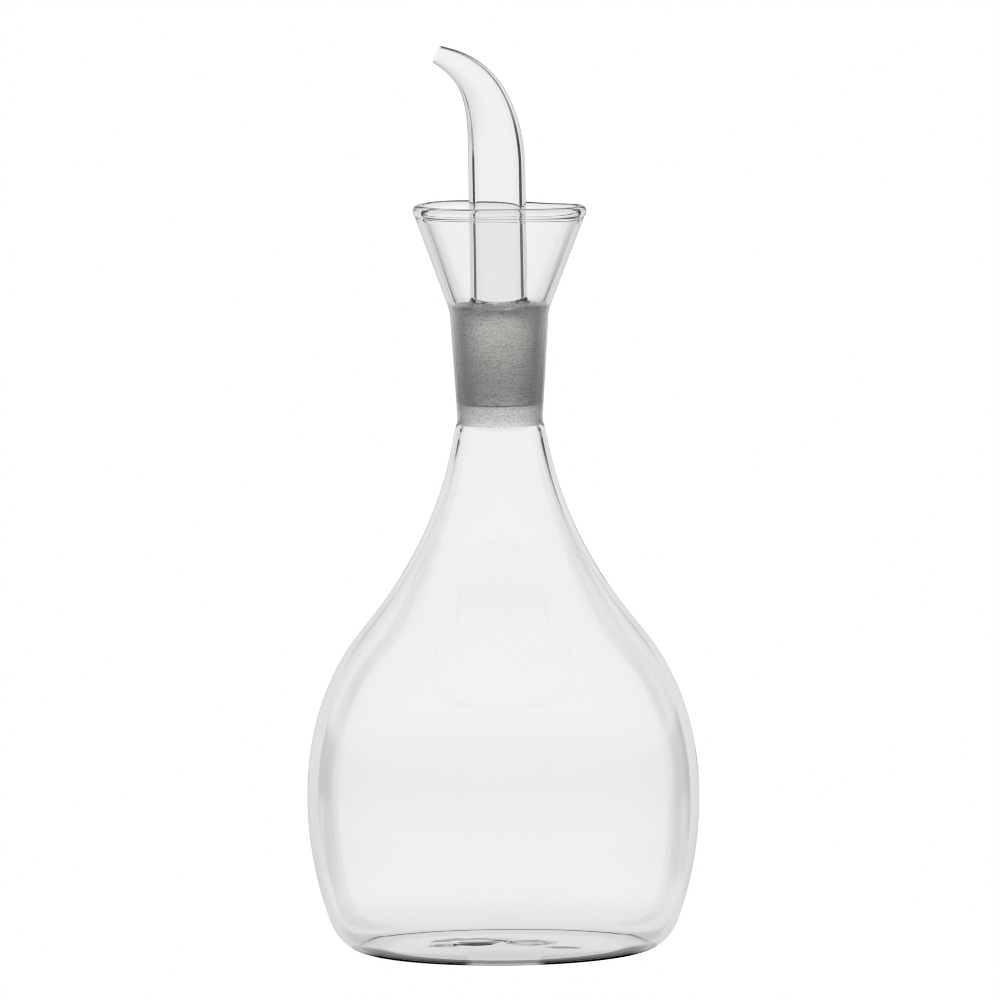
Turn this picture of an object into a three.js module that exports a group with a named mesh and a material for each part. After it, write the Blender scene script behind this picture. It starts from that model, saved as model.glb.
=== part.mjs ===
import * as THREE from 'three';

// Glass cruet: a blown flask with a flared drip cup, and a loose ground stopper that is drawn out
// into a bent pouring spout. Millimetres, +Z up. The origin is the centre of the base, on the table.

// Facets round the axis.
const BOTTLE_FACETS = 48;
const STOPPER_FACETS = 32;

// Base: a flat ring to stand on, hollowed a little underneath, with a low mound inside.
const REST_RING_INNER_RADIUS = 29;
const REST_RING_OUTER_RADIUS = 36;
const UNDERSIDE_RISE = 1.0;
const UNDERSIDE_PULL = 6;
const FLOOR_HEIGHT = 2.8;
const FLOOR_RADIUS = 33;
const MOUND_HEIGHT = 1.0;
const MOUND_RADIUS = 13;

// Heel, where the base turns up into the wall.
const HEEL_TOP_HEIGHT = 7;
const HEEL_TOP_RADIUS = 43.6;
const HEEL_SLOPE = 0.36;
const HEEL_WALL = 2.7;
const HEEL_FLAT_PULL = 4.6;
const HEEL_RISE_PULL = 3.6;

// Belly, widest a little below its middle.
const BELLY_HEIGHT = 38;
const BELLY_RADIUS = 49.1;
const BELLY_WALL = 2.6;
const BELLY_PULL_DOWN = 11;
const BELLY_PULL_UP = 16;
const HEEL_PULL_UP = 9.5;

// Shoulder, where the convex belly changes into the concave neck.
const SHOULDER_HEIGHT = 80.6;
const SHOULDER_RADIUS = 34.7;
const SHOULDER_SLOPE = -0.83;
const SHOULDER_WALL = 2.4;
const SHOULDER_PULL_DOWN = 12;
const SHOULDER_PULL_UP = 16;

// Neck, just below the ground joint.
const NECK_HEIGHT = 129.6;
const NECK_RADIUS = 11.45;
const NECK_SLOPE = -0.17;
const NECK_WALL = 1.6;
const NECK_PULL_DOWN = 17;

// Ground joint: a conical socket with a taper of one in ten on its diameter.
const JOINT_BOTTOM_HEIGHT = 131.4;
const JOINT_TOP_HEIGHT = 160.6;
const JOINT_BOTTOM_BORE_RADIUS = 9.25;
const JOINT_SLOPE = 0.05;
const WAIST_HEIGHT = 133.2;
const WAIST_RADIUS = 10.65;
const COLLAR_HEIGHT = 157.6;
const COLLAR_RADIUS = 12.2;
const TURN_PULL = 1.4;

// Drip cup: a straight cone with a rolled rim.
const CUP_BOTTOM_HEIGHT = 161.6;
const CUP_BOTTOM_RADIUS = 12.95;
const CUP_TOP_HEIGHT = 182.6;
const CUP_SLOPE = 0.371;
const CUP_WALL = 2.1;
const CUP_FLOOR_LIFT = 1.6;
const RIM_CENTRE_HEIGHT = 184.5;
const RIM_CENTRE_RADIUS = 20.15;
const RIM_HALF_WIDTH = 1.35;
const RIM_HALF_HEIGHT = 1.75;
const RIM_START_ANGLE = THREE.MathUtils.degToRad(-50);
const RIM_END_ANGLE = THREE.MathUtils.degToRad(205);

// Stopper: a hollow ground cone, open below, that drops into the socket.
const STOPPER_BOTTOM_HEIGHT = 136.4;
const STOPPER_TOP_HEIGHT = 160.2;
const STOPPER_SHOULDER_HEIGHT = 161.1;
const STOPPER_CLEARANCE = 0.2;
const STOPPER_WALL = 1.6;
const STOPPER_EDGE = 0.5;

// Tube that rises out of the stopper.
const TUBE_RADIUS = 7.1;
const TUBE_BORE_RADIUS = 5.8;
const TUBE_FILLET = 1.6;
const BEND_START_HEIGHT = 195;

// Spout: the tube drawn thin and bent towards -X.
const SPOUT_REACH = 14;
const SPOUT_RISE = 29;
const SPOUT_TIP_ANGLE = THREE.MathUtils.degToRad(65);
const SPOUT_START_PULL = 18;
const SPOUT_TIP_PULL = 8;
const DRAW_START_SHARE = 0.38;
const DRAW_END_SHARE = 0.7;
const DRAW_RADIUS = 4.2;
const DRAW_BORE_RADIUS = 3.2;
const TIP_RADIUS = 2.35;
const TIP_BORE_RADIUS = 1.6;

// Steps along each stretch of a profile.
const LONG_STEPS = 8;
const SHORT_STEPS = 4;
const RIM_STEPS = 9;
const SPOUT_STEPS = 13;

function at(radius, height) {
  return new THREE.Vector2(radius, height);
}

// A point up or down the tangent of a wall whose radius changes by slope for each millimetre of height.
function along(point, slope, rise) {
  return at(point.x + slope * rise, point.y + rise);
}

// The point on the inner side of the glass, square to the slope of the wall.
function insideOf(point, slope, wall) {
  const inward = at(-1, slope).normalize();
  return point.clone().addScaledVector(inward, wall);
}

// Points of a smooth stretch between two ends, pulled towards two handles.
function stretch(start, startHandle, endHandle, end, steps) {
  return new THREE.CubicBezierCurve(start, startHandle, endHandle, end).getPoints(steps);
}

// One run of points without repeats. A profile that starts off the axis closes on itself.
function joinStretches(stretches) {
  const points = [];
  for (const point of stretches.flat()) {
    const last = points[points.length - 1];
    if (!last || !last.equals(point)) {
      points.push(point);
    }
  }
  if (points[0].x > 0) {
    points.push(points[0].clone());
  }
  return points;
}

// Turns a profile of radius and height round the Z axis.
function turned(profile, facets) {
  return new THREE.LatheGeometry(profile, facets).rotateX(Math.PI / 2);
}

function boreRadiusAt(height) {
  return JOINT_BOTTOM_BORE_RADIUS + JOINT_SLOPE * (height - JOINT_BOTTOM_HEIGHT);
}

// The wall of the flask from heel to neck, for its outer and its inner side.
function flaskWall(heel, belly, shoulder, neck) {
  const lowerBelly = stretch(
    heel,
    along(heel, HEEL_SLOPE, HEEL_PULL_UP),
    along(belly, 0, -BELLY_PULL_DOWN),
    belly,
    LONG_STEPS,
  );
  const upperBelly = stretch(
    belly,
    along(belly, 0, BELLY_PULL_UP),
    along(shoulder, SHOULDER_SLOPE, -SHOULDER_PULL_DOWN),
    shoulder,
    LONG_STEPS,
  );
  const taper = stretch(
    shoulder,
    along(shoulder, SHOULDER_SLOPE, SHOULDER_PULL_UP),
    along(neck, NECK_SLOPE, -NECK_PULL_DOWN),
    neck,
    LONG_STEPS,
  );
  return [lowerBelly, upperBelly, taper].flat();
}

function makeBottle() {
  const heel = at(HEEL_TOP_RADIUS, HEEL_TOP_HEIGHT);
  const belly = at(BELLY_RADIUS, BELLY_HEIGHT);
  const shoulder = at(SHOULDER_RADIUS, SHOULDER_HEIGHT);
  const neck = at(NECK_RADIUS, NECK_HEIGHT);
  const waist = at(WAIST_RADIUS, WAIST_HEIGHT);
  const collar = at(COLLAR_RADIUS, COLLAR_HEIGHT);
  const cupBottom = at(CUP_BOTTOM_RADIUS, CUP_BOTTOM_HEIGHT);
  const cupTop = along(cupBottom, CUP_SLOPE, CUP_TOP_HEIGHT - CUP_BOTTOM_HEIGHT);

  const underside = stretch(
    at(0, UNDERSIDE_RISE),
    at(REST_RING_INNER_RADIUS / 2, UNDERSIDE_RISE),
    at(REST_RING_INNER_RADIUS - UNDERSIDE_PULL, 0),
    at(REST_RING_INNER_RADIUS, 0),
    SHORT_STEPS,
  );
  const heelTurn = stretch(
    at(REST_RING_OUTER_RADIUS, 0),
    at(REST_RING_OUTER_RADIUS + HEEL_FLAT_PULL, 0),
    along(heel, HEEL_SLOPE, -HEEL_RISE_PULL),
    heel,
    SHORT_STEPS + 1,
  );
  const waistTurn = stretch(
    neck,
    along(neck, NECK_SLOPE, TURN_PULL),
    along(waist, 0, -TURN_PULL),
    waist,
    SHORT_STEPS - 1,
  );
  const collarTurn = stretch(
    collar,
    along(collar, JOINT_SLOPE, TURN_PULL),
    along(cupBottom, CUP_SLOPE, -TURN_PULL),
    cupBottom,
    SHORT_STEPS - 1,
  );
  const rim = new THREE.EllipseCurve(
    RIM_CENTRE_RADIUS,
    RIM_CENTRE_HEIGHT,
    RIM_HALF_WIDTH,
    RIM_HALF_HEIGHT,
    RIM_START_ANGLE,
    RIM_END_ANGLE,
  ).getPoints(RIM_STEPS);

  const socket = [
    insideOf(cupTop, CUP_SLOPE, CUP_WALL),
    insideOf(along(cupBottom, CUP_SLOPE, CUP_FLOOR_LIFT), CUP_SLOPE, CUP_WALL),
    at(boreRadiusAt(JOINT_TOP_HEIGHT), JOINT_TOP_HEIGHT),
    at(JOINT_BOTTOM_BORE_RADIUS, JOINT_BOTTOM_HEIGHT),
  ];
  const heelInside = insideOf(heel, HEEL_SLOPE, HEEL_WALL);
  const wallInside = flaskWall(
    heelInside,
    insideOf(belly, 0, BELLY_WALL),
    insideOf(shoulder, SHOULDER_SLOPE, SHOULDER_WALL),
    insideOf(neck, NECK_SLOPE, NECK_WALL),
  );
  const heelTurnInside = stretch(
    at(FLOOR_RADIUS, FLOOR_HEIGHT),
    at(FLOOR_RADIUS + HEEL_FLAT_PULL, FLOOR_HEIGHT),
    along(heelInside, HEEL_SLOPE, -HEEL_WALL),
    heelInside,
    SHORT_STEPS + 1,
  );
  const mound = stretch(
    at(0, FLOOR_HEIGHT + MOUND_HEIGHT),
    at(MOUND_RADIUS / 2, FLOOR_HEIGHT + MOUND_HEIGHT),
    at(MOUND_RADIUS / 2, FLOOR_HEIGHT),
    at(MOUND_RADIUS, FLOOR_HEIGHT),
    SHORT_STEPS,
  );
  const insideFromFloor = [mound, heelTurnInside, wallInside].flat();

  const profile = joinStretches([
    underside,
    heelTurn,
    flaskWall(heel, belly, shoulder, neck),
    waistTurn,
    collarTurn,
    rim,
    socket,
    insideFromFloor.reverse(),
  ]);
  return turned(profile, BOTTLE_FACETS);
}

// Centre line of the drawn spout, in the XZ plane.
const bendStart = new THREE.Vector3(0, 0, BEND_START_HEIGHT);
const spoutTip = new THREE.Vector3(-SPOUT_REACH, 0, BEND_START_HEIGHT + SPOUT_RISE);
const tipDirection = new THREE.Vector3(-Math.sin(SPOUT_TIP_ANGLE), 0, Math.cos(SPOUT_TIP_ANGLE));
const spoutLine = new THREE.CubicBezierCurve3(
  bendStart,
  new THREE.Vector3(0, 0, BEND_START_HEIGHT + SPOUT_START_PULL),
  spoutTip.clone().addScaledVector(tipDirection, -SPOUT_TIP_PULL),
  spoutTip,
);
const spoutLength = spoutLine.getLength();

// Bends the straight drawn tube along the centre line, as it is bent in the flame.
function bendSpout(geometry) {
  const position = geometry.attributes.position;
  const point = new THREE.Vector3();
  for (let index = 0; index < position.count; index += 1) {
    point.fromBufferAttribute(position, index);
    const travel = point.z - BEND_START_HEIGHT;
    if (travel > 0) {
      const share = Math.min(travel / spoutLength, 1);
      const tangent = spoutLine.getTangentAt(share);
      const across = new THREE.Vector3(tangent.z, 0, -tangent.x);
      const bent = spoutLine.getPointAt(share).addScaledVector(across, point.x);
      position.setXYZ(index, bent.x, point.y, bent.z);
    }
  }
  return geometry;
}

// One side of the tube wall where it is drawn thin, still straight.
function drawnWall(startRadius, middleRadius, endRadius) {
  return stretch(
    at(startRadius, BEND_START_HEIGHT),
    at(startRadius, BEND_START_HEIGHT + DRAW_START_SHARE * spoutLength),
    at(middleRadius, BEND_START_HEIGHT + DRAW_END_SHARE * spoutLength),
    at(endRadius, BEND_START_HEIGHT + spoutLength),
    SPOUT_STEPS,
  );
}

function makeStopper() {
  const bottomRadius = boreRadiusAt(STOPPER_BOTTOM_HEIGHT) - STOPPER_CLEARANCE;
  const bottomEdge = at(bottomRadius, STOPPER_BOTTOM_HEIGHT);
  const topEdge = along(bottomEdge, JOINT_SLOPE, STOPPER_TOP_HEIGHT - STOPPER_BOTTOM_HEIGHT);
  const filletFoot = at(TUBE_RADIUS + TUBE_FILLET, STOPPER_SHOULDER_HEIGHT);
  const filletTop = at(TUBE_RADIUS, STOPPER_SHOULDER_HEIGHT + TUBE_FILLET);
  const throat = at(TUBE_BORE_RADIUS, STOPPER_SHOULDER_HEIGHT + TUBE_FILLET);
  const hollowTop = at(topEdge.x - STOPPER_WALL, STOPPER_SHOULDER_HEIGHT - 2 * STOPPER_WALL);

  const cone = [
    at(bottomRadius - STOPPER_EDGE, STOPPER_BOTTOM_HEIGHT),
    along(bottomEdge, JOINT_SLOPE, STOPPER_EDGE),
    topEdge,
  ];
  const shoulderTurn = stretch(
    topEdge,
    at(topEdge.x, STOPPER_SHOULDER_HEIGHT),
    at(topEdge.x - STOPPER_EDGE, STOPPER_SHOULDER_HEIGHT),
    filletFoot,
    SHORT_STEPS,
  );
  const fillet = stretch(
    filletFoot,
    at(filletTop.x + TUBE_FILLET / 2, filletFoot.y),
    at(filletTop.x, filletFoot.y + TUBE_FILLET / 2),
    filletTop,
    SHORT_STEPS,
  );
  const hollowTurn = stretch(
    throat,
    along(throat, 0, -2 * TUBE_FILLET),
    along(hollowTop, 0, STOPPER_WALL),
    hollowTop,
    SHORT_STEPS + 1,
  );

  const profile = joinStretches([
    cone,
    shoulderTurn,
    fillet,
    drawnWall(TUBE_RADIUS, DRAW_RADIUS, TIP_RADIUS),
    drawnWall(TUBE_BORE_RADIUS, DRAW_BORE_RADIUS, TIP_BORE_RADIUS).reverse(),
    hollowTurn,
    [at(bottomRadius - STOPPER_WALL, STOPPER_BOTTOM_HEIGHT)],
  ]);
  return bendSpout(turned(profile, STOPPER_FACETS));
}

const clearGlass = { color: '#eef0ef', roughness: 0.04, metalness: 0 };

function piece(name, geometry, finish) {
  const mesh = new THREE.Mesh(geometry, new THREE.MeshStandardMaterial(finish));
  mesh.name = name;
  return mesh;
}

const cruet = new THREE.Group();
cruet.name = 'glass_cruet';
cruet.add(piece('bottle', makeBottle(), clearGlass));
cruet.add(piece('spout_stopper', makeStopper(), clearGlass));

export default cruet;
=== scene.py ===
# %% [markdown]
# # Glass cruet
# An empty cruet for oil or vinegar, blown from borosilicate glass. It has two pieces: a pear-shaped flask
# whose neck is ground to a conical socket and flares into a drip cup, and a hollow ground stopper that is
# drawn out into a bent pouring spout. Both are bodies of revolution before the spout is bent, so both are
# turned here from their outline. Sizes are in millimetres, and the finished pieces stand in for the
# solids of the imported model.

import math

import bpy
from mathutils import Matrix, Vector


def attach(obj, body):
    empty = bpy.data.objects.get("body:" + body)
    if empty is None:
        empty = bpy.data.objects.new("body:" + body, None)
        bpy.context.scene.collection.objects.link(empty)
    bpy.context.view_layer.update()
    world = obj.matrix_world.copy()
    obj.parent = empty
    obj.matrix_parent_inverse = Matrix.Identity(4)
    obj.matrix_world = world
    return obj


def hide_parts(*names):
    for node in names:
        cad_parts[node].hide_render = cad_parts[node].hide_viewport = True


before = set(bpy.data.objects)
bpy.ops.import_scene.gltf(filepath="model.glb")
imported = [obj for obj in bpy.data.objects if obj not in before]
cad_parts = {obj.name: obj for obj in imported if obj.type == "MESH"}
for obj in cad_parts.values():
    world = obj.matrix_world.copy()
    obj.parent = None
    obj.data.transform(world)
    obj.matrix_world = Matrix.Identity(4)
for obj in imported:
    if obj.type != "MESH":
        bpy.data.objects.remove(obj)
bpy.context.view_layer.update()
MM = 0.001

# %% [markdown]
# ## Camera
# The photograph was taken from a few metres away with a long lens: the ellipse of the base is seen 7
# degrees from above and the rim only 3 to 4. A camera could be matched by eye, but those two angles fix
# it: it stands 2.7 m away and 0.35 m above the table. The lens follows from the width of the picture at
# the cruet, 250 mm, and the picture is turned by half a degree.

# %% Camera
# Places and the picture's width are in metres, the sensor is in millimetres.
CAMERA_PLACE, CAMERA_AIM = (0, -2.7, 0.345), (-0.0002, 0, 0.1125)
PICTURE_WIDTH, SENSOR_WIDTH = 0.2498, 36
ROLL, FARTHEST = -0.5, 50
camera_data = bpy.data.cameras.new("camera")
camera = bpy.data.objects.new("camera", camera_data)
bpy.context.collection.objects.link(camera)
camera.location = CAMERA_PLACE
direction = Vector(CAMERA_AIM) - camera.location
camera.rotation_euler = direction.to_track_quat("-Z", "Y").to_euler()
camera.rotation_euler.rotate_axis("Z", math.radians(ROLL))
camera_data.sensor_width = SENSOR_WIDTH
camera_data.lens = SENSOR_WIDTH * direction.length / PICTURE_WIDTH
camera_data.clip_end = FARTHEST
bpy.context.scene.camera = camera
print("lens in mm", round(camera_data.lens, 1))

# %% [markdown]
# ## Studio
# Clear glass shows only what it bends into view. In the photograph it seems to stand before a white
# sweep, which gives the even pale grey of the walls, while the darker room to either side draws the thin
# dark lines where the wall turns edge on, and something white further round lightens the outermost edge
# again. Lamps and boards could be placed as objects, but they are far away, so the panels are painted on
# the world by direction, which is easy to set out in degrees and gives little noise.


# %% Node helper
def add_node(tree, kind, links=(), inputs=None, **settings):
    """Adds a node with its settings and input values, and links (input, source node, source output)."""
    node = tree.nodes.new(kind)
    for name, value in settings.items():
        setattr(node, name, value)
    for socket, value in (inputs or {}).items():
        node.inputs[socket].default_value = value
    for socket, source, output in links:
        tree.links.new(source.outputs[output], node.inputs[socket])
    return node


# The falling edges of panels and shadows are soft.
SOFT = dict(interpolation_type="SMOOTHSTEP")
print("soft edges by", SOFT["interpolation_type"])

# %% Studio panels
# Each white panel has a level of light and four edges, given as (full light, no light) in degrees. Left
# and right are compass angles, counted from the far side of the cruet towards its right. Bottom and top
# are heights over the horizon. The sweep has weaker panels at its sides, above and below the line of
# sight.
SWEEP = [
    dict(level=1.0, left=(-37, -40), right=(33, 37), bottom=(-34, -46), top=(6, 17)),
    dict(level=1.0, left=(-40, -45), right=(36, 48), bottom=(-34, -46), top=(-11, -8)),
    dict(level=0.5, left=(-56, -62), right=(-30, -25), bottom=(-15, -18), top=(-6.4, -4.3)),
    dict(level=0.5, left=(-56, -62), right=(-30, -25), bottom=(7, 3.5), top=(14, 20)),
    dict(level=0.35, left=(30, 25), right=(54, 60), bottom=(-15, -18), top=(-6.4, -4.3)),
    dict(level=0.25, left=(30, 25), right=(54, 60), bottom=(7, 3.5), top=(14, 20)),
]
ALL_ROUND = dict(left=(-190, -200), right=(190, 200))
CARDS = [
    dict(level=1.0, left=(-190, -200), right=(-60, -56), bottom=(-80, -90), top=(90, 100)),
    dict(level=1.0, left=(60, 56), right=(190, 200), bottom=(-80, -90), top=(90, 100)),
    dict(level=0.8, bottom=(52, 42), top=(90, 100), **ALL_ROUND),
    dict(level=1.0, left=(-42, -46), right=(-26, -20), bottom=(5.5, 3.5), top=(90, 100)),
    dict(level=1.0, left=(26, 20), right=(34, 39), bottom=(8, 4.5), top=(90, 100)),
]
TABLE = [dict(level=0.965, bottom=(-32, -40), top=(-15, -11), **ALL_ROUND)]
CEILING = [
    dict(level=0.75, left=(-190, -200), right=(-24, -10), bottom=(8, 4), top=(90, 100)),
    dict(level=0.75, left=(24, 10), right=(190, 200), bottom=(8, 4), top=(90, 100)),
]
print("studio panels", len(SWEEP + CARDS + TABLE + CEILING))

# %% Directions
studio = bpy.data.worlds.new("photo studio")
bpy.context.scene.world = studio
studio.use_nodes = True
studio_tree = studio.node_tree
studio_tree.nodes.clear()
gaze = add_node(studio_tree, "ShaderNodeTexCoord")
axes = add_node(studio_tree, "ShaderNodeSeparateXYZ", [(0, gaze, "Generated")])
compass = add_node(studio_tree, "ShaderNodeMath", [(0, axes, "X"), (1, axes, "Y")], operation="ARCTAN2")
height = add_node(studio_tree, "ShaderNodeMath", [(0, axes, "Z")], operation="ARCSINE")
print("world", studio.name)


# %% Light of the panels
def lit_by(panels):
    """The share of light that a list of panels sends from a direction."""
    sources = dict(left=compass, right=compass, bottom=height, top=height)
    brightest = None
    for panel in panels:
        share = None
        for edge, source in sources.items():
            full, none = panel[edge]
            level = panel["level"] if edge == "top" else 1.0
            # Inputs 1 and 2 of Map Range are the ends of what comes in, 3 and 4 of what goes out.
            ends = {1: math.radians(full), 2: math.radians(none), 3: level, 4: 0.0}
            fall = add_node(studio_tree, "ShaderNodeMapRange", [(0, source, 0)], ends, **SOFT)
            if share is None:
                share = fall
            else:
                pair = [(0, share, 0), (1, fall, 0)]
                share = add_node(studio_tree, "ShaderNodeMath", pair, operation="MULTIPLY")
        if brightest is None:
            brightest = share
        else:
            pair = [(0, brightest, 0), (1, share, 0)]
            brightest = add_node(studio_tree, "ShaderNodeMath", pair, operation="MAXIMUM")
    return brightest


sweep_light = lit_by(SWEEP)
card_light = lit_by(CARDS)
table_light = lit_by(TABLE)
ceiling_light = lit_by(CEILING)
print("studio nodes", len(studio_tree.nodes))

# %% [markdown]
# ## Light by path
# In a real studio every ray sees the same panels. Here the world asks how a ray came to it, because plain
# panels lay more reflections on the glass than the photograph shows. A ray that was only bent sees the
# sweep and the cards nearly in full. One that was thrown back inside the wall sees them weaker, and one
# thrown back from the outside weaker still. The table panel is there for bent rays only, because from
# higher views they run down past the end of the floor, and the ceiling only for rays from the outside.
# Lamps with light linking could do much the same, but a few numbers are simpler.

# %% Ways of light
STRAIGHT_SWEEP, INNER_SWEEP, OUTER_SWEEP = 0.965, 0.82, 0.66
INNER_CARDS, OUTER_CARDS = 0.7, 0.45
HALF_A_BOUNCE = 0.5
way = add_node(studio_tree, "ShaderNodeLightPath")
straight = add_node(
    studio_tree, "ShaderNodeMath", [(0, way, "Glossy Depth")], {1: HALF_A_BOUNCE}, operation="LESS_THAN"
)
within = add_node(
    studio_tree,
    "ShaderNodeMath",
    [(0, way, "Transmission Depth")],
    {1: HALF_A_BOUNCE},
    operation="GREATER_THAN",
)
through = add_node(studio_tree, "ShaderNodeMath", [(0, straight, 0), (1, within, 0)], operation="MAXIMUM")
bare = add_node(studio_tree, "ShaderNodeMath", [(1, through, 0)], {0: 1.0}, operation="SUBTRACT")
sweep_ends = {3: OUTER_SWEEP, 4: INNER_SWEEP}
thrown_back = add_node(studio_tree, "ShaderNodeMapRange", [(0, within, 0)], sweep_ends)
ahead = add_node(studio_tree, "ShaderNodeMapRange", [(0, straight, 0)], {3: 0.0, 4: STRAIGHT_SWEEP})
sweep_strength = add_node(
    studio_tree, "ShaderNodeMath", [(0, ahead, 0), (1, thrown_back, 0)], operation="MAXIMUM"
)
card_ends = {3: OUTER_CARDS, 4: INNER_CARDS}
weaker_cards = add_node(studio_tree, "ShaderNodeMapRange", [(0, within, 0)], card_ends)
card_strength = add_node(
    studio_tree, "ShaderNodeMath", [(0, straight, 0), (1, weaker_cards, 0)], operation="MAXIMUM"
)
print("sweep strengths", STRAIGHT_SWEEP, INNER_SWEEP, OUTER_SWEEP)

# %% Light of the world
brightest = None
for light, strength in (
    (sweep_light, sweep_strength),
    (card_light, card_strength),
    (table_light, straight),
    (ceiling_light, bare),
):
    part = add_node(studio_tree, "ShaderNodeMath", [(0, light, 0), (1, strength, 0)], operation="MULTIPLY")
    if brightest is None:
        brightest = part
    else:
        pair = [(0, brightest, 0), (1, part, 0)]
        brightest = add_node(studio_tree, "ShaderNodeMath", pair, operation="MAXIMUM")
# Everything is a little dimmer low down, where the sweep runs out over the table.
LOW_END, LOW_START, LOW_LEVEL = -8, -5.2, 0.89
low_fall = {1: math.radians(LOW_END), 2: math.radians(LOW_START), 3: LOW_LEVEL, 4: 1.0}
low_dimming = add_node(studio_tree, "ShaderNodeMapRange", [(0, height, 0)], low_fall)
seen_in_glass = add_node(
    studio_tree, "ShaderNodeMath", [(0, brightest, 0), (1, low_dimming, 0)], operation="MULTIPLY"
)
# Straight behind the cruet the picture is plain white, in every view.
behind = add_node(
    studio_tree, "ShaderNodeMath", [(0, seen_in_glass, 0), (1, way, "Is Camera Ray")], operation="MAXIMUM"
)
paper = add_node(studio_tree, "ShaderNodeBackground", [("Strength", behind, 0)], {"Color": (1, 1, 1, 1)})
add_node(studio_tree, "ShaderNodeOutputWorld", [("Surface", paper, 0)])
print("studio nodes", len(studio_tree.nodes))

# %% [markdown]
# ## Picture settings
# Light goes in and out of four walls of glass, and is thrown back between them, before it reaches the
# camera. With the usual few bounces the glass would turn black where the walls are seen edge on, so many
# are allowed. The filter that smooths the picture could be left wide, but a narrow one keeps the thin
# lines sharp.

# %% Picture settings
BOUNCES, FILTER_WIDTH = 32, 1.0
scene = bpy.context.scene
scene.view_settings.view_transform = "Standard"
scene.cycles.filter_width = FILTER_WIDTH
scene.cycles.max_bounces = BOUNCES
scene.cycles.transmission_bounces = BOUNCES
scene.cycles.glossy_bounces = BOUNCES
scene.cycles.transparent_max_bounces = BOUNCES
print("bounces", BOUNCES)

# %% [markdown]
# ## Table
# The cruet stands on the white sheet, which shows through its base. Only that part of the table matters,
# so it is a disc that fades out. Little light gets into the wedge between the table and the rounded heel,
# which draws the dark ring round the base. A lamp would have to be outside the glass to make that shadow,
# and would need very many samples to find its way through, so the sheet gives its own light and the ring
# is left out of it.

# %% Table top
# The table lies a hair below the glass, because two surfaces in one plane come out streaked.
FLOOR_RADIUS, FLOOR_GAP, FLOOR_SIDES = 140, 0.05, 96
bpy.ops.object.select_all(action="DESELECT")
bpy.ops.mesh.primitive_circle_add(
    vertices=FLOOR_SIDES, radius=FLOOR_RADIUS * MM, fill_type="NGON", location=(0, 0, -FLOOR_GAP * MM)
)
floor = bpy.context.object
floor.name = "floor"
white = bpy.data.materials.new("white table")
white.use_nodes = True
table_tree = white.node_tree
table_tree.nodes.clear()
floor.data.materials.append(white)
print("floor radius in mm", FLOOR_RADIUS)

# %% Ring under the heel
# Towards the viewer the ring is wider, but for a gap in the middle, and it is weaker at the far left and
# right.
FRONT_START, FRONT_END = -12, 0
GAP_END, GAP_START, GAP_LEVEL = 7.5, 10.5, 0.35
SIDE_START, SIDE_END, SIDE_LEVEL = 31, 37, 0.3
RING_INSIDE, RING_INSIDE_FRONT, RING_OUTSIDE, RING_OUTSIDE_FRONT = 35.6, 34.9, 37.1, 41.0
SOFT_INSIDE, SOFT_OUTSIDE = 0.5, 0.6
place_on_table = add_node(table_tree, "ShaderNodeTexCoord")
on_table = [(0, place_on_table, "Object")]
from_middle = add_node(table_tree, "ShaderNodeVectorMath", on_table, operation="LENGTH")
spot = add_node(table_tree, "ShaderNodeSeparateXYZ", on_table)
sideways = add_node(table_tree, "ShaderNodeMath", [(0, spot, "X")], operation="ABSOLUTE")
front_ends = {1: FRONT_START * MM, 2: FRONT_END * MM, 3: 1, 4: 0}
to_front = add_node(table_tree, "ShaderNodeMapRange", [(0, spot, "Y")], front_ends, **SOFT)
gap_ends = {1: GAP_END * MM, 2: GAP_START * MM, 3: 0, 4: 1}
off_middle = add_node(table_tree, "ShaderNodeMapRange", [(0, sideways, 0)], gap_ends, **SOFT)
front_arc = add_node(
    table_tree, "ShaderNodeMath", [(0, to_front, 0), (1, off_middle, 0)], operation="MULTIPLY"
)
in_gap = add_node(table_tree, "ShaderNodeMath", [(0, to_front, 0), (1, front_arc, 0)], operation="SUBTRACT")
rings = []
for plain, wide, soft_ends in (
    (RING_INSIDE, RING_INSIDE_FRONT, {1: 0.0, 2: SOFT_INSIDE * MM, 3: 0, 4: 1}),
    (RING_OUTSIDE, RING_OUTSIDE_FRONT, {1: 0.0, 2: SOFT_OUTSIDE * MM, 3: 1, 4: 0}),
):
    limit = add_node(table_tree, "ShaderNodeMapRange", [(0, front_arc, 0)], {3: plain * MM, 4: wide * MM})
    pair = [(0, from_middle, "Value"), (1, limit, 0)]
    past = add_node(table_tree, "ShaderNodeMath", pair, operation="SUBTRACT")
    rings.append(add_node(table_tree, "ShaderNodeMapRange", [(0, past, 0)], soft_ends, **SOFT))
print("ring in mm", RING_INSIDE, "to", RING_OUTSIDE)

# %% Shade of the ring
gap_shade = add_node(table_tree, "ShaderNodeMapRange", [(0, in_gap, 0)], {3: 1.0, 4: GAP_LEVEL})
side_ends = {1: SIDE_START * MM, 2: SIDE_END * MM, 3: 1, 4: SIDE_LEVEL}
side_shade = add_node(table_tree, "ShaderNodeMapRange", [(0, sideways, 0)], side_ends, **SOFT)
shade = rings[0]
for factor in (rings[1], gap_shade, side_shade):
    shade = add_node(table_tree, "ShaderNodeMath", [(0, shade, 0), (1, factor, 0)], operation="MULTIPLY")
open_table = add_node(table_tree, "ShaderNodeMapRange", [(0, shade, 0)], {3: 1.0, 4: 0.0})
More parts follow.
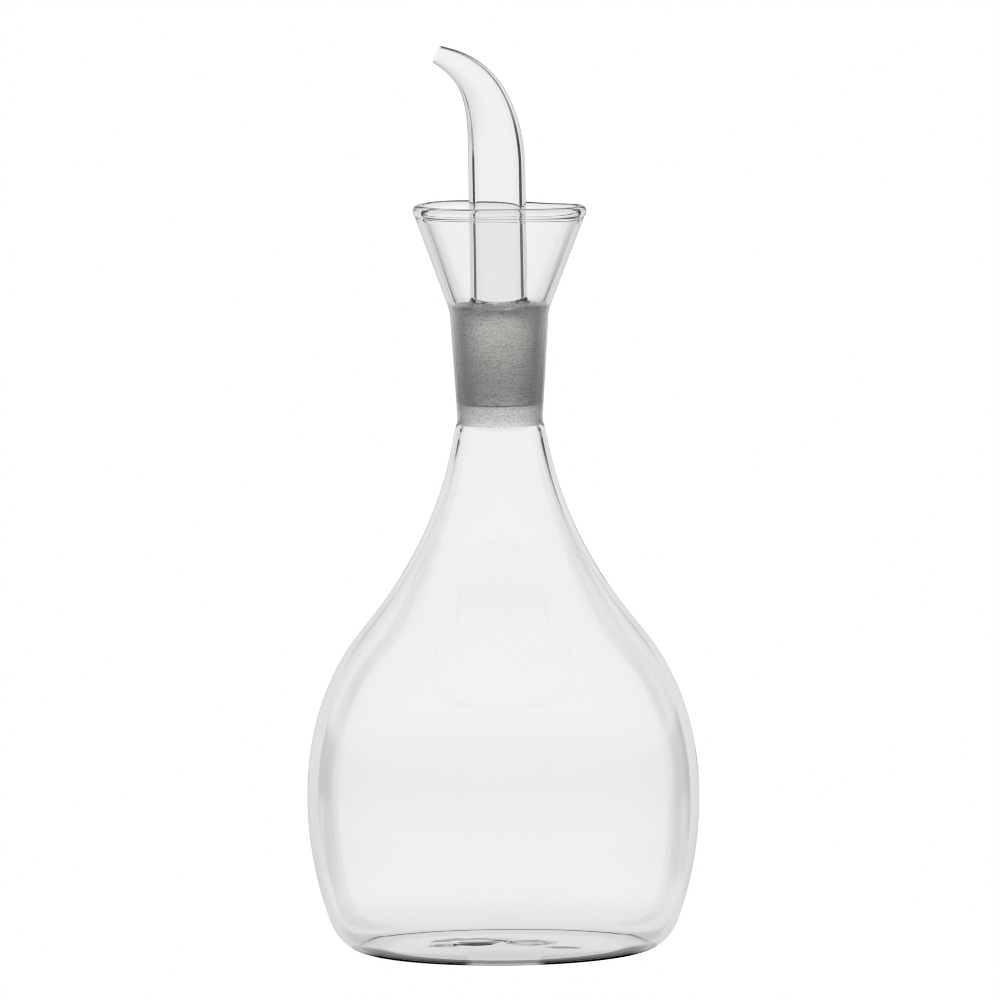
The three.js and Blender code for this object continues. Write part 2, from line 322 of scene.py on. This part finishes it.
# Rays that were thrown back and went through many walls don't see the ring.
MANY_WALLS = 4.5
table_way = add_node(table_tree, "ShaderNodeLightPath")
table_straight = add_node(
    table_tree,
    "ShaderNodeMath",
    [(0, table_way, "Glossy Depth")],
    {1: HALF_A_BOUNCE},
    operation="LESS_THAN",
)
far_in = add_node(
    table_tree,
    "ShaderNodeMath",
    [(0, table_way, "Transmission Depth")],
    {1: MANY_WALLS},
    operation="GREATER_THAN",
)
lost = add_node(
    table_tree, "ShaderNodeMath", [(0, far_in, 0), (1, table_straight, 0)], operation="SUBTRACT"
)
kept_light = add_node(table_tree, "ShaderNodeMath", [(0, open_table, 0), (1, lost, 0)], operation="MAXIMUM")
print("table nodes", len(table_tree.nodes))

# %% White table
# The sheet is plain white to the eye and a little greyer through the glass.
STRAIGHT_TABLE, REFLECTED_TABLE = 0.85, 0.73
FADE_START, FADE_END = 55, 135
in_glass = add_node(
    table_tree, "ShaderNodeMapRange", [(0, table_straight, 0)], {3: REFLECTED_TABLE, 4: STRAIGHT_TABLE}
)
shaded = add_node(
    table_tree, "ShaderNodeMath", [(0, in_glass, 0), (1, kept_light, 0)], operation="MULTIPLY"
)
bright = add_node(
    table_tree, "ShaderNodeMath", [(0, shaded, 0), (1, table_way, "Is Camera Ray")], operation="MAXIMUM"
)
fade_ends = {1: FADE_START * MM, 2: FADE_END * MM, 3: 0.0, 4: 1.0}
fade = add_node(table_tree, "ShaderNodeMapRange", [(0, from_middle, "Value")], fade_ends, **SOFT)
glow = add_node(table_tree, "ShaderNodeEmission", [("Strength", bright, 0)])
air = add_node(table_tree, "ShaderNodeBsdfTransparent")
sheet = add_node(table_tree, "ShaderNodeMixShader", [(0, fade, 0), (1, glow, 0), (2, air, 0)])
add_node(table_tree, "ShaderNodeOutputMaterial", [("Surface", sheet, 0)])
print("table fades from", FADE_START, "to", FADE_END, "mm")

# %% [markdown]
# ## Clear glass
# Borosilicate glass is nearly colourless and takes a fire polish, so it is smooth on both sides and bends
# light a little less than window glass. A glass shader alone would look turned on a lathe. Blowing leaves
# soft waves in the wall, too shallow to see but for the lines that they bend, so a very low bump with
# long waves is added.


# %% Colour helper
def linear(hex_colour):
    """Linear RGBA of an sRGB hex colour."""
    channels = [int(hex_colour[i : i + 2], 16) / 255 for i in (1, 3, 5)]
    return [c / 12.92 if c <= 0.04045 else ((c + 0.055) / 1.055) ** 2.4 for c in channels] + [1.0]


print("middle grey in linear light", round(linear("#808080")[0], 3))

# %% Borosilicate glass
# To the eye: a trace of grey in the walls, with sharp dark and light lines where the glass is seen edge
# on.
GLASS_IOR = 1.47
WAVE_LENGTH, WAVE_HEIGHT = 18, 0.02
clear_glass = bpy.data.materials.new("borosilicate glass")
clear_glass.use_nodes = True
clear_tree = clear_glass.node_tree
clear_shader = clear_tree.nodes["Principled BSDF"]
clear_shader.inputs["Base Color"].default_value = linear("#fcfcfc")
clear_shader.inputs["Roughness"].default_value = 0.0
clear_shader.inputs["IOR"].default_value = GLASS_IOR
clear_shader.inputs["Transmission Weight"].default_value = 1.0
place_on_wall = add_node(clear_tree, "ShaderNodeTexCoord")
wave_scale = {"Scale": 1 / WAVE_LENGTH / MM, "Detail": 1.0}
waves = add_node(clear_tree, "ShaderNodeTexNoise", [("Vector", place_on_wall, "Object")], wave_scale)
wave_depth = {"Strength": 1.0, "Distance": WAVE_HEIGHT * MM}
wave_bump = add_node(clear_tree, "ShaderNodeBump", [("Height", waves, 0)], wave_depth)
clear_tree.links.new(wave_bump.outputs[0], clear_shader.inputs["Normal"])
print("waves in mm", WAVE_LENGTH, "long and", WAVE_HEIGHT, "high")

# %% [markdown]
# ## Ground glass
# The socket and the cone of the stopper are ground with grit until they fit. That leaves pits of less
# than half a millimetre and rings from the turning of the tool, and the surface scatters the light to an
# even grey. A grey paint would hide the glass behind it, so this is still glass, but rough, with a noise
# of pits and rings that tints it and bumps it.

# %% Grit
PIT, PIT_STRETCH, RING_LENGTH, RING_WIDTH = 0.4, 0.7, 9.0, 0.5
RING_SHARE = 0.22
ground_glass = bpy.data.materials.new("ground glass")
ground_glass.use_nodes = True
ground_tree = ground_glass.node_tree
place_on_joint = add_node(ground_tree, "ShaderNodeTexCoord")
pit_size = {"Scale": (PIT_STRETCH / PIT / MM, PIT_STRETCH / PIT / MM, 1 / PIT / MM)}
ring_size = {"Scale": (1 / RING_LENGTH / MM, 1 / RING_LENGTH / MM, 1 / RING_WIDTH / MM)}
for_pits = add_node(ground_tree, "ShaderNodeMapping", [("Vector", place_on_joint, "Object")], pit_size)
for_rings = add_node(ground_tree, "ShaderNodeMapping", [("Vector", place_on_joint, "Object")], ring_size)
pit_grain = {"Scale": 1.0, "Detail": 2.0, "Roughness": 0.7}
ring_grain = {"Scale": 1.0, "Detail": 3.0, "Roughness": 0.6}
pits = add_node(ground_tree, "ShaderNodeTexNoise", [("Vector", for_pits, 0)], pit_grain)
tool_rings = add_node(ground_tree, "ShaderNodeTexNoise", [("Vector", for_rings, 0)], ring_grain)
both = [("A", pits, 0), ("B", tool_rings, 0)]
grit = add_node(ground_tree, "ShaderNodeMix", both, {"Factor": RING_SHARE})
print("pit size in mm", PIT)

# %% Grey of the joint
# To the eye: a grey, speckled band, darker in its lower half.
DARK_AT, LIGHT_AT = 0.40, 0.54
DARKENING_LOW, DARKENING_HIGH, DARKENING_LEVEL = 141, 156, 0.8
tone = add_node(ground_tree, "ShaderNodeValToRGB", [(0, grit, 0)])
dark_end, light_end = tone.color_ramp.elements
dark_end.position = DARK_AT
dark_end.color = linear("#babab8")
light_end.position = LIGHT_AT
light_end.color = linear("#fffffd")
on_joint = add_node(ground_tree, "ShaderNodeSeparateXYZ", [(0, place_on_joint, "Object")])
# The grey is made darker towards the bottom of the joint, by height alone.
darkening_ends = {1: DARKENING_LOW * MM, 2: DARKENING_HIGH * MM, 3: DARKENING_LEVEL, 4: 1.0}
darkening = add_node(ground_tree, "ShaderNodeMapRange", [(0, on_joint, "Z")], darkening_ends)
# Where the glass is seen at a slant its tint is darker. This is partly because a slanting ray meets more of
# the pits, and partly painted shade for the darker sides of the band.
SLANT_START, SLANT_END, SLANT_LEVEL = 0.05, 0.35, 0.88
slant = add_node(ground_tree, "ShaderNodeLayerWeight", inputs={"Blend": 0.5})
slant_shade_ends = {1: SLANT_START, 2: SLANT_END, 3: 1.0, 4: SLANT_LEVEL}
pit_loss_and_side_shade = add_node(ground_tree, "ShaderNodeMapRange", [(0, slant, "Facing")], slant_shade_ends)
kept_tone = add_node(ground_tree, "ShaderNodeMath", [(0, darkening, 0), (1, pit_loss_and_side_shade, 0)], operation="MULTIPLY")
grey = add_node(
    ground_tree, "ShaderNodeVectorMath", [(0, tone, 0), ("Scale", kept_tone, 0)], operation="SCALE"
)
print("grey wear from", DARKENING_LOW, "to", DARKENING_HIGH, "mm")

# %% Ground surface
# The frosting is deepest in the lower half of the cone. Below the stopper, where the socket alone is
# ground, light comes through clearer.
FROST_LOW, FROST_HIGH, FROST_DEEP, FROST_FINE = 139, 160, 0.5, 0.28
BELOW_END, BELOW_START, BELOW_LEVEL = 135.2, 137.2, 0.36
PIT_DEPTH = 0.06
ground_shader = ground_tree.nodes["Principled BSDF"]
ground_shader.inputs["IOR"].default_value = GLASS_IOR
ground_shader.inputs["Transmission Weight"].default_value = 1.0
ground_tree.links.new(grey.outputs[0], ground_shader.inputs["Base Color"])
pit_bump = add_node(
    ground_tree, "ShaderNodeBump", [("Height", grit, 0)], {"Strength": 1.0, "Distance": PIT_DEPTH * MM}
)
ground_tree.links.new(pit_bump.outputs[0], ground_shader.inputs["Normal"])
frost_ends = {1: FROST_LOW * MM, 2: FROST_HIGH * MM, 3: FROST_DEEP, 4: FROST_FINE}
frost = add_node(ground_tree, "ShaderNodeMapRange", [(0, on_joint, "Z")], frost_ends)
below_ends = {1: BELOW_END * MM, 2: BELOW_START * MM, 3: BELOW_LEVEL, 4: 1.0}
below = add_node(ground_tree, "ShaderNodeMapRange", [(0, on_joint, "Z")], below_ends)
frosting = add_node(ground_tree, "ShaderNodeMath", [(0, frost, 0), (1, below, 0)], operation="MINIMUM")
ground_tree.links.new(frosting.outputs[0], ground_shader.inputs["Roughness"])
print("pit depth in mm", PIT_DEPTH)

# %% [markdown]
# ## Outlines
# Both pieces are round, so each is one outline of (radius, height) points turned about the Z axis. The
# outline could be drawn as a curve object, but smooth stretches between measured points, with their
# tangents given as slopes, keep the sizes in view and make it easy to set the inner side a wall's
# thickness within the outer one.


# %% Points along a wall
def along(point, slope, rise):
    """A point up or down the tangent of a wall, with slope as its change of radius for each millimetre."""
    return (point[0] + slope * rise, point[1] + rise)


def inside_of(point, slope, wall):
    """The point on the inner side of the glass, square to the slope of the wall."""
    length = math.hypot(1, slope)
    return (point[0] - wall / length, point[1] + wall * slope / length)


def stretch(start, start_handle, end_handle, end, steps):
    """Points of a smooth stretch between two ends, pulled towards two handles."""
    corners = (start, start_handle, end_handle, end)
    points = []
    for i in range(steps + 1):
        t = i / steps
        weights = ((1 - t) ** 3, 3 * (1 - t) ** 2 * t, 3 * (1 - t) * t**2, t**3)
        points.append(tuple(sum(w * c[axis] for w, c in zip(weights, corners)) for axis in (0, 1)))
    return points


print("a wall of 2 mm at slope 1 moves in by", round(-inside_of((0, 0), 1, 2)[0], 2))

# %% Runs of points
# Points closer than this, in millimetres, are one point. The other two are the shares of easing.
SAME = 1e-4
PULL_IN, PUSH_OUT = 0.5, -0.52


def joined(*stretches):
    """One run of points without repeats."""
    points = []
    for point in (p for s in stretches for p in s):
        if not points or math.dist(points[-1], point) > SAME:
            points.append(point)
    return points


def eased(points, passes):
    """The same run with its bends spread out: a pass pulls each point to its neighbours and back out."""
    for _ in range(passes):
        for share in (PULL_IN, PUSH_OUT):
            middles = [tuple((a + b) / 2 for a, b in zip(p, q)) for p, q in zip(points, points[2:])]
            pairs = zip(points[1:-1], middles)
            moved = [tuple(c + share * (m - c) for c, m in zip(p, middle)) for p, middle in pairs]
            points = [points[0]] + moved + [points[-1]]
    return points


print("points closer than", SAME, "mm are joined")

# %% Turning
# Edges that turn by more than this many degrees stay sharp.
SHARP = 40


def turn_outline(name, outline, closed, steps):
    """Extrudes an outline point by point from one vertex and spins it round the Z axis."""
    bpy.ops.object.select_all(action="DESELECT")
    bpy.ops.mesh.primitive_plane_add(size=MM, location=(0, 0, 0))
    piece = bpy.context.object
    piece.name = name
    bpy.ops.object.mode_set(mode="EDIT")
    bpy.ops.mesh.select_mode(type="VERT")
    bpy.ops.mesh.select_all(action="SELECT")
    bpy.ops.mesh.merge(type="CENTER")
    first = outline[0]
    bpy.ops.transform.translate(value=(first[0] * MM, 0, first[1] * MM))
    run = list(outline[1:]) + ([first] if closed else [])
    for before, after in zip([first] + run, run):
        step = ((after[0] - before[0]) * MM, 0, (after[1] - before[1]) * MM)
        bpy.ops.mesh.extrude_region_move(TRANSFORM_OT_translate={"value": step})
    bpy.ops.mesh.select_all(action="SELECT")
    bpy.ops.mesh.spin(steps=steps, angle=2 * math.pi, center=(0, 0, 0), axis=(0, 0, 1))
    bpy.ops.mesh.select_all(action="SELECT")
    bpy.ops.mesh.remove_doubles(threshold=1e-6)
    bpy.ops.mesh.normals_make_consistent(inside=False)
    bpy.ops.object.mode_set(mode="OBJECT")
    bpy.ops.object.shade_smooth_by_angle(angle=math.radians(SHARP))
    return piece


print("sharp from", SHARP, "degrees")

# %% [markdown]
# ## Flask
# One piece of blown glass: a base with a low hollow, a tight heel, a round belly, a long shoulder, the
# neck with its ground socket and the drip cup with a rolled rim. A solid with a Solidify modifier would
# have one wall thickness everywhere. Here the inner side is an outline of its own, so the wall can be
# thinner at the heel, where it must not bend the ring of the base, and thicker at the neck, as its edge
# lines suggest.

# %% Flask measures
# Points are (radius, height), slopes the change of radius for each millimetre of height.
HEEL, BELLY, SHOULDER, NECK = (43.6, 7.0), (49.05, 38.0), (34.7, 80.6), (11.45, 129.6)
WAIST, COLLAR, CUP_BOTTOM = (10.65, 133.2), (12.2, 157.6), (12.95, 161.6)
HEEL_SLOPE, SHOULDER_SLOPE, NECK_SLOPE, JOINT_SLOPE, CUP_SLOPE = 0.36, -0.83, -0.17, 0.05, 0.371
JOINT_BOTTOM, JOINT_TOP = (9.25, 131.2), (10.76, 161.5)
HEEL_WALL, BELLY_WALL, SHOULDER_WALL, NECK_WALL, CUP_WALL = 0.45, 1.2, 1.5, 1.6, 2.1
# The floor of the flask, the rise in its middle, and the radii where it stands on the table.
BASE_WALL, KICK, FOOT, CREASE = 0.4, 0.3, 29, 36.5
LONG, SHORT = 28, 10
print("belly in mm", 2 * BELLY[0])

# %% Wall of the flask
# How far each end of a stretch reaches along its tangent, up or down.
HEEL_UP, BELLY_DOWN, BELLY_UP, SHOULDER_DOWN, SHOULDER_UP, NECK_DOWN = 9.5, -11, 16, -12, 16, -17
EASING = 60


def flask_wall(heel, belly, shoulder, neck):
    """The wall from heel to neck, for its outer and its inner side."""
    belly_low, belly_high = along(belly, 0, BELLY_DOWN), along(belly, 0, BELLY_UP)
    shoulder_low = along(shoulder, SHOULDER_SLOPE, SHOULDER_DOWN)
    shoulder_high = along(shoulder, SHOULDER_SLOPE, SHOULDER_UP)
    run = joined(
        stretch(heel, along(heel, HEEL_SLOPE, HEEL_UP), belly_low, belly, LONG),
        stretch(belly, belly_high, shoulder_low, shoulder, LONG),
        stretch(shoulder, shoulder_high, along(neck, NECK_SLOPE, NECK_DOWN), neck, LONG),
    )
    return eased(run, EASING)


outer_wall = flask_wall(HEEL, BELLY, SHOULDER, NECK)
heel_inside = inside_of(HEEL, HEEL_SLOPE, HEEL_WALL)
inner_wall = flask_wall(
    heel_inside,
    inside_of(BELLY, 0, BELLY_WALL),
    inside_of(SHOULDER, SHOULDER_SLOPE, SHOULDER_WALL),
    inside_of(NECK, NECK_SLOPE, NECK_WALL),
)
print("points in the walls", len(outer_wall), len(inner_wall))

# %% Rolled rim
CUP_LENGTH, BEAD_BELOW, CUP_START = 21.7, -2.0, 0.7
RIM, RIM_TOP, CREST_OUTER, CREST_INNER = 184.85, 186.25, 20.92, 19.5
BEAD_UP, BEAD_DOWN, CUP_OUT, CUP_IN = 0.78, -1.1, 0.5, 0.9
rim_side, rim_inside, rim_crest = (21.5, RIM), (18.9, RIM), (20.15, RIM_TOP)
cup_high = along(CUP_BOTTOM, CUP_SLOPE, CUP_LENGTH)
cup_inside_top = inside_of(along(cup_high, CUP_SLOPE, BEAD_BELOW), CUP_SLOPE, CUP_WALL)
cup_inside_bottom = inside_of(along(CUP_BOTTOM, CUP_SLOPE, CUP_START), CUP_SLOPE, CUP_WALL)
into_bead, out_of_bead = along(cup_high, CUP_SLOPE, CUP_OUT), along(cup_inside_top, CUP_SLOPE, CUP_IN)
side_low, side_high = along(rim_side, 0, BEAD_DOWN), along(rim_side, 0, BEAD_UP)
inner_low, inner_high = along(rim_inside, 0, BEAD_DOWN), along(rim_inside, 0, BEAD_UP)
rim = joined(
    stretch(cup_high, into_bead, side_low, rim_side, 2 * SHORT),
    stretch(rim_side, side_high, (CREST_OUTER, RIM_TOP), rim_crest, 2 * SHORT),
    stretch(rim_crest, (CREST_INNER, RIM_TOP), inner_high, rim_inside, 2 * SHORT),
    stretch(rim_inside, inner_low, out_of_bead, cup_inside_top, SHORT),
)
print("rim width in mm", 2 * rim_side[0])

# %% Outer side
# Handles of the hollow in the base, of the heel, and of the two bends at the ends of the socket.
KICK_PULL, FOOT_PULL = 14.5, 23
HEEL_PULL, HEEL_LIFT, HEEL_DOWN = 2.7, 0.45, -3.6
BEND_PULL = 1.4
heel_low = along(HEEL, HEEL_SLOPE, HEEL_DOWN)
neck_high, waist_low = along(NECK, NECK_SLOPE, BEND_PULL), along(WAIST, 0, -BEND_PULL)
collar_high, cup_low = along(COLLAR, JOINT_SLOPE, BEND_PULL), along(CUP_BOTTOM, CUP_SLOPE, -BEND_PULL)
outer_side = joined(
    stretch((0, KICK), (KICK_PULL, KICK), (FOOT_PULL, 0), (FOOT, 0), SHORT),
    [(FOOT, 0), (CREASE, 0)],
    stretch((CREASE, 0), (CREASE + HEEL_PULL, HEEL_LIFT), heel_low, HEEL, 2 * SHORT),
    outer_wall,
    stretch(NECK, neck_high, waist_low, WAIST, SHORT),
    stretch(COLLAR, collar_high, cup_low, CUP_BOTTOM, SHORT),
    rim,
)
print("points outside", len(outer_side))

# %% Inner side
BASE_PULLS = (32, 34)
INNER_HEEL_PULL, INNER_HEEL_LIFT, INNER_HEEL_DOWN, CREASE_WALL = 2.6, 0.43, -3.5, 0.08
JOINT_PULL, SOCKET_UP, CUP_DOWN = 10, 0.4, -0.6
kick_top, foot_inside = (0, BASE_WALL + KICK), (FOOT, BASE_WALL)
crease_inside = (CREASE - CREASE_WALL, BASE_WALL)
corner = (CREASE + INNER_HEEL_PULL, BASE_WALL + INNER_HEEL_LIFT)
inner_heel_low = along(heel_inside, HEEL_SLOPE, INNER_HEEL_DOWN)
joint_low = along(JOINT_BOTTOM, JOINT_SLOPE, JOINT_PULL)
joint_high = along(JOINT_TOP, JOINT_SLOPE, -JOINT_PULL)
socket_end = along(JOINT_TOP, JOINT_SLOPE, SOCKET_UP)
cup_start = along(cup_inside_bottom, CUP_SLOPE, CUP_DOWN)
inner_side = joined(
    stretch(kick_top, (KICK_PULL, BASE_WALL + KICK), (FOOT_PULL, BASE_WALL), foot_inside, LONG),
    stretch(foot_inside, (BASE_PULLS[0], BASE_WALL), (BASE_PULLS[1], BASE_WALL), crease_inside, SHORT),
    stretch(crease_inside, corner, inner_heel_low, heel_inside, 2 * SHORT),
    inner_wall,
    stretch(JOINT_BOTTOM, joint_low, joint_high, JOINT_TOP, SHORT),
    stretch(JOINT_TOP, socket_end, cup_start, cup_inside_bottom, SHORT),
)
print("points inside", len(inner_side))

# %% Turned flask
FLASK_STEPS = 240
flask = turn_outline("flask", outer_side + inner_side[::-1], False, FLASK_STEPS)
flask.data.materials.append(clear_glass)
flask.data.materials.append(ground_glass)
print("flask polygons", len(flask.data.polygons))

# %% [markdown]
# ## Marks of the blowing
# In the photograph the inner floor has low lens-like marks, and neither the cup nor its rim is quite
# round. Sculpting would make such marks freely but not twice alike. A pull at one vertex with a soft fall
# around it is set by a few numbers, chosen here to come near the marks that show.


# %% Marks in the base
def pull(piece, place, size, move, fall="SMOOTH", one_side=True):
    """Pulls the glass round a point of the surface, with a smooth fall over the size, in millimetres."""
    nearest = min(piece.data.vertices, key=lambda v: (v.co - Vector(place) * MM).length).index
    bpy.context.view_layer.objects.active = piece
    bpy.ops.object.mode_set(mode="EDIT")
    bpy.ops.mesh.select_all(action="DESELECT")
    bpy.ops.object.mode_set(mode="OBJECT")
    piece.data.vertices[nearest].select = True
    bpy.ops.object.mode_set(mode="EDIT")
    bpy.ops.transform.translate(
        value=[m * MM for m in move],
        use_proportional_edit=True,
        use_proportional_connected=one_side,
        proportional_edit_falloff=fall,
        proportional_size=size * MM,
    )
    bpy.ops.object.mode_set(mode="OBJECT")


# Each mark on the inside of the base: its place to the right and to the back, its size and its rise.
BASE_MARKS = [
    (-7, 4, 8, 0.8),
    (6, 4, 5.5, 0.7),
    (-14, 1, 4, 0.3),
    (-1, 10, 5, 0.3),
    (14, -5, 2.5, 0.15),
    (17, -5, 2, 0.12),
]
for x, y, size, rise in BASE_MARKS:
    pull(flask, (x, y, BASE_WALL + KICK), size, (0, 0, rise), "SPHERE")
print("marks in the base", len(BASE_MARKS))

# %% Uneven wall
# Each place on the glass, the size of the stretch round it that moves, the move, and whether one side
# moves alone.
UNEVEN = [
    ((17.1, 0, 173), 15, (0.6, 0, 0), True),
    ((-20, 0, 185), 26, (0.15, 0, 0.2), False),
    ((20, 0, 185), 26, (0.15, 0, -0.2), False),
    ((-12, 16, 186), 16, (0, 0, 0.3), False),
    ((12, 16, 186), 16, (0, 0, -0.4), False),
    ((0, -20, 186), 18, (0, 0, 0.25), False),
]
for place, size, move, one_side in UNEVEN:
    pull(flask, place, size, move, one_side=one_side)
print("uneven places", len(UNEVEN))

# %% [markdown]
# ## Ground socket
# The inside of the neck is ground where the stopper sits, and the grinding ends above it in a ragged
# line. The ground part could be a piece of its own, but it is the same glass, so only its faces get the
# other material. They are found by their height, their distance from the axis and the way they face.

# %% Ground socket
# Each wave of the ragged line has a height, a count and a start.
RAGGED = [(0.3, 7, 1), (0.25, 17, 0), (0.2, 41, 2)]
GROUND_OVER, SOCKET_REACH = 1.1, 1
CLEAR_SLOT, GROUND_SLOT = 0, 1
for polygon in flask.data.polygons:
    x, y, z = polygon.center / MM
    turn = math.atan2(x, -y)
    ragged = sum(wave * math.sin(count * turn + start) for wave, count, start in RAGGED)
    edge = JOINT_TOP[1] + GROUND_OVER + ragged
    in_socket = JOINT_BOTTOM[1] < z < edge and math.hypot(x, y) < JOINT_TOP[0] + SOCKET_REACH
    faces_in = polygon.normal.dot((x, y, 0)) < 0
    polygon.material_index = GROUND_SLOT if in_socket and faces_in else CLEAR_SLOT
print("ground faces", sum(p.material_index for p in flask.data.polygons))
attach(flask, "root")
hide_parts("bottle")

# %% [markdown]
# ## Stopper and spout
# A hollow cone, ground to fit the socket and open below, runs through a round shoulder into a tube, which
# was softened in the flame, drawn thin and bent to pour. A tube could be swept along a curve with a
# bevel, but then the bore would need a second sweep and the cone a join. Turning the whole piece straight
# and bending it along a line with a Curve modifier keeps it one closed skin, inside and out.

# %% Spout line
# The mouth points up and to the left, and slightly to the viewer.
TIP_ANGLE, TIP_TURN, TIP_PULL = math.radians(65), -0.13, 6.5
tip_direction = Vector((-math.sin(TIP_ANGLE), TIP_TURN, math.cos(TIP_ANGLE)))
up = Vector((0, 0, 1))
# Each point of the line has its place and its pulls backwards and forwards, in millimetres.
SPOUT_LINE = [
    (Vector((0, 0, 156)), up * 8, up * 8),
    (Vector((-0.3, 0, 195)), up * 12, up * 23),
    (Vector((-14.9, 0, 223.95)), tip_direction * TIP_PULL, tip_direction * TIP_PULL),
]
LINE_DETAIL = 64
bpy.ops.object.select_all(action="DESELECT")
bpy.ops.curve.primitive_bezier_curve_add(location=(0, 0, 0))
line = bpy.context.object
line.data.dimensions = "3D"
line.data.resolution_u = LINE_DETAIL
line.data.twist_mode = "MINIMUM"
spline = line.data.splines[0]
spline.bezier_points.add(len(SPOUT_LINE) - 2)
for point, (place, back, forward) in zip(spline.bezier_points, SPOUT_LINE):
    point.handle_left_type = "FREE"
    point.handle_right_type = "FREE"
    point.co = place * MM
    point.handle_left = (place - back) * MM
    point.handle_right = (place + forward) * MM
LINE_START = SPOUT_LINE[0][0].z
BEND = SPOUT_LINE[1][0].z
spout_length = spline.calc_length() / MM - (BEND - LINE_START)
print("spout length in mm", round(spout_length, 2))

# %% Drawn tube
TUBE, BORE = 7.1, 5.6
TUBE_MIDDLE, BORE_MIDDLE, TUBE_TIP, BORE_TIP = 4.2, 3.75, 2.35, 2.02
NEAR_PULL, FAR_PULL, SPOUT_STEPS = 0.38, 0.7, 60


def drawn(start, middle, end):
    """One side of the tube wall where it is drawn thin, still straight."""
    near, far = BEND + NEAR_PULL * spout_length, BEND + FAR_PULL * spout_length
    return stretch((start, BEND), (start, near), (middle, far), (end, BEND + spout_length), SPOUT_STEPS)


tube_outside = drawn(TUBE, TUBE_MIDDLE, TUBE_TIP)
tube_inside = drawn(BORE, BORE_MIDDLE, BORE_TIP)[::-1]
print("mouth in mm", 2 * BORE_TIP)

# %% Stopper outline
# The cone clears the socket by a fifth of a millimetre. Its edges are bevelled, and its shoulder turns
# into the tube.
CONE_BOTTOM, CONE_TOP, CLEARANCE, BEVEL, CONE_WALL = 136.4, 162.0, 0.2, 0.5, 1.6
TOP_BEVEL, SHOULDER_END, SHOULDER_PULL, TUBE_RISE, HOLLOW_DROP = 0.9, 8.7, 7.9, 1.6, 1.3
HALF_RISE = 0.8
bottom_radius = JOINT_BOTTOM[0] + JOINT_SLOPE * (CONE_BOTTOM - JOINT_BOTTOM[1]) - CLEARANCE
bottom_edge = along((bottom_radius, CONE_BOTTOM), JOINT_SLOPE, BEVEL)
top_edge = along((bottom_radius, CONE_BOTTOM), JOINT_SLOPE, CONE_TOP - CONE_BOTTOM - TOP_BEVEL)
shoulder_end, tube_start = (SHOULDER_END, CONE_TOP), (TUBE, CONE_TOP + TUBE_RISE)
bore_start, hollow_top = (BORE, CONE_TOP + TUBE_RISE), (top_edge[0] - CONE_WALL, CONE_TOP - HOLLOW_DROP)
stopper_outline = joined(
    [(bottom_radius - BEVEL, CONE_BOTTOM), bottom_edge, top_edge],
    stretch(top_edge, (top_edge[0], CONE_TOP), (top_edge[0] - BEVEL, CONE_TOP), shoulder_end, SHORT),
    stretch(shoulder_end, (SHOULDER_PULL, CONE_TOP), (TUBE, CONE_TOP + HALF_RISE), tube_start, SHORT),
    tube_outside,
    tube_inside,
    stretch(bore_start, (BORE, CONE_TOP), along(hollow_top, 0, HALF_RISE), hollow_top, SHORT),
    [(bottom_radius - CONE_WALL, CONE_BOTTOM)],
)
print("points in the stopper", len(stopper_outline))

# %% Bent stopper
STOPPER_STEPS = 96
lowered = [(radius, z - LINE_START) for radius, z in stopper_outline]
stopper = turn_outline("drawn_stopper", lowered, True, STOPPER_STEPS)
bend = stopper.modifiers.new("bend", "CURVE")
bend.object = line
bend.deform_axis = "POS_Z"
bpy.context.view_layer.objects.active = stopper
bpy.ops.object.modifier_apply(modifier="bend")
bpy.data.objects.remove(line)
low_corner, high_corner = stopper.bound_box[0], stopper.bound_box[6]
print("stopper box in mm", [round((b - a) / MM, 2) for a, b in zip(low_corner, high_corner)])

# %% Ground cone
# The cone's outer side and its lower end are ground, the shoulder and the tube are clear.
BELOW_CONE, UNDER_TOP, FACES_DOWN = 0.1, 0.05, -0.5
GROUND_FROM, GROUND_TO = CONE_BOTTOM - BELOW_CONE, CONE_TOP - UNDER_TOP
stopper.data.materials.append(clear_glass)
stopper.data.materials.append(ground_glass)
for polygon in stopper.data.polygons:
    x, y, z = polygon.center / MM
    faces_out = polygon.normal.dot((x, y, 0)) > 0 or polygon.normal.z < FACES_DOWN
    polygon.material_index = GROUND_SLOT if GROUND_FROM < z < GROUND_TO and faces_out else CLEAR_SLOT
print("ground faces", sum(p.material_index for p in stopper.data.polygons))
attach(stopper, "root")
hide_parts("spout_stopper")
